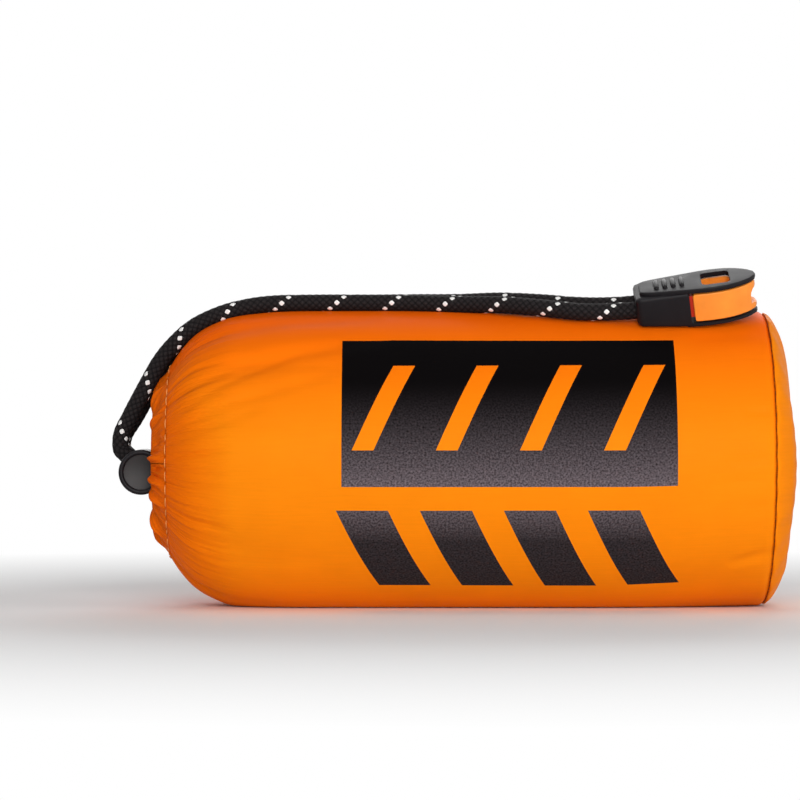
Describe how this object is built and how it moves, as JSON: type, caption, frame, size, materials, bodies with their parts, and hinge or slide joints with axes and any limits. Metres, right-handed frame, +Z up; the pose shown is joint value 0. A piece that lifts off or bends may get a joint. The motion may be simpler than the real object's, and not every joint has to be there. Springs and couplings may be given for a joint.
{
  "type": "emergency tube tent",
  "caption": "Emergency tube tent packed in a drawcord stuff sack, with a cord lock at the gathered mouth and a whistle on the doubled drawcord.",
  "frame": {"origin": "on the floor under the middle of the sack's length, between the ends of the cloth", "axes": "+X along the sack from its gathered mouth to its round base, -Y to the side with the print, +Z up"},
  "size_m": [0.1538, 0.0684, 0.0764],
  "materials": {
    "sack_cloth": "thin coated nylon cloth with a soft sheen",
    "seam_cloth": "folded seam allowance",
    "tent_film": "folded polyethylene film with a metallised face",
    "ridge_line": "thin braided line",
    "drawcord": "braided black cord with a pale tracer",
    "lock_plastic": "moulded black plastic",
    "spring_steel": "bright wire",
    "whistle_black": "moulded black plastic",
    "whistle_orange": "moulded orange plastic"
  },
  "bodies": {
    "sack": {"sack_body": "sack_cloth", "sack_base": "sack_cloth", "mouth_channel": "sack_cloth", "side_seam": "seam_cloth", "tent_roll": "tent_film", "ridge_line_hank": "ridge_line", "drawcord_channel_loop": "drawcord", "drawcord_front_strand": "drawcord", "drawcord_rear_strand": "drawcord"},
    "lock": {"cord_lock_body": "lock_plastic", "cord_lock_spring": "spring_steel"},
    "lock_button": {"cord_lock_button": "lock_plastic"},
    "whistle": {"whistle_shell": "whistle_black", "whistle_core": "whistle_orange"}
  },
  "joints": [
    {"name": "lock_slide", "type": "slide", "parent": "sack", "child": "lock", "axis": [-0.7071, 0, 0.7071], "range_m": [0, 0.01]},
    {"name": "button_press", "type": "slide", "parent": "lock", "child": "lock_button", "axis": [0, -1, 0], "range_m": [0, 0.0015], "stiffness_N_per_m": 150, "springref_m": -0.0002, "deforming": ["cord_lock_spring"]},
    {"name": "whistle_lift", "type": "hinge", "parent": "sack", "child": "whistle", "pos_m": [0.021, -0.01308, 0.06678], "axis": [0, -0.9336, -0.3584], "range_deg": [0, 70], "deforming": ["drawcord_front_strand", "drawcord_rear_strand"]}
  ]
}
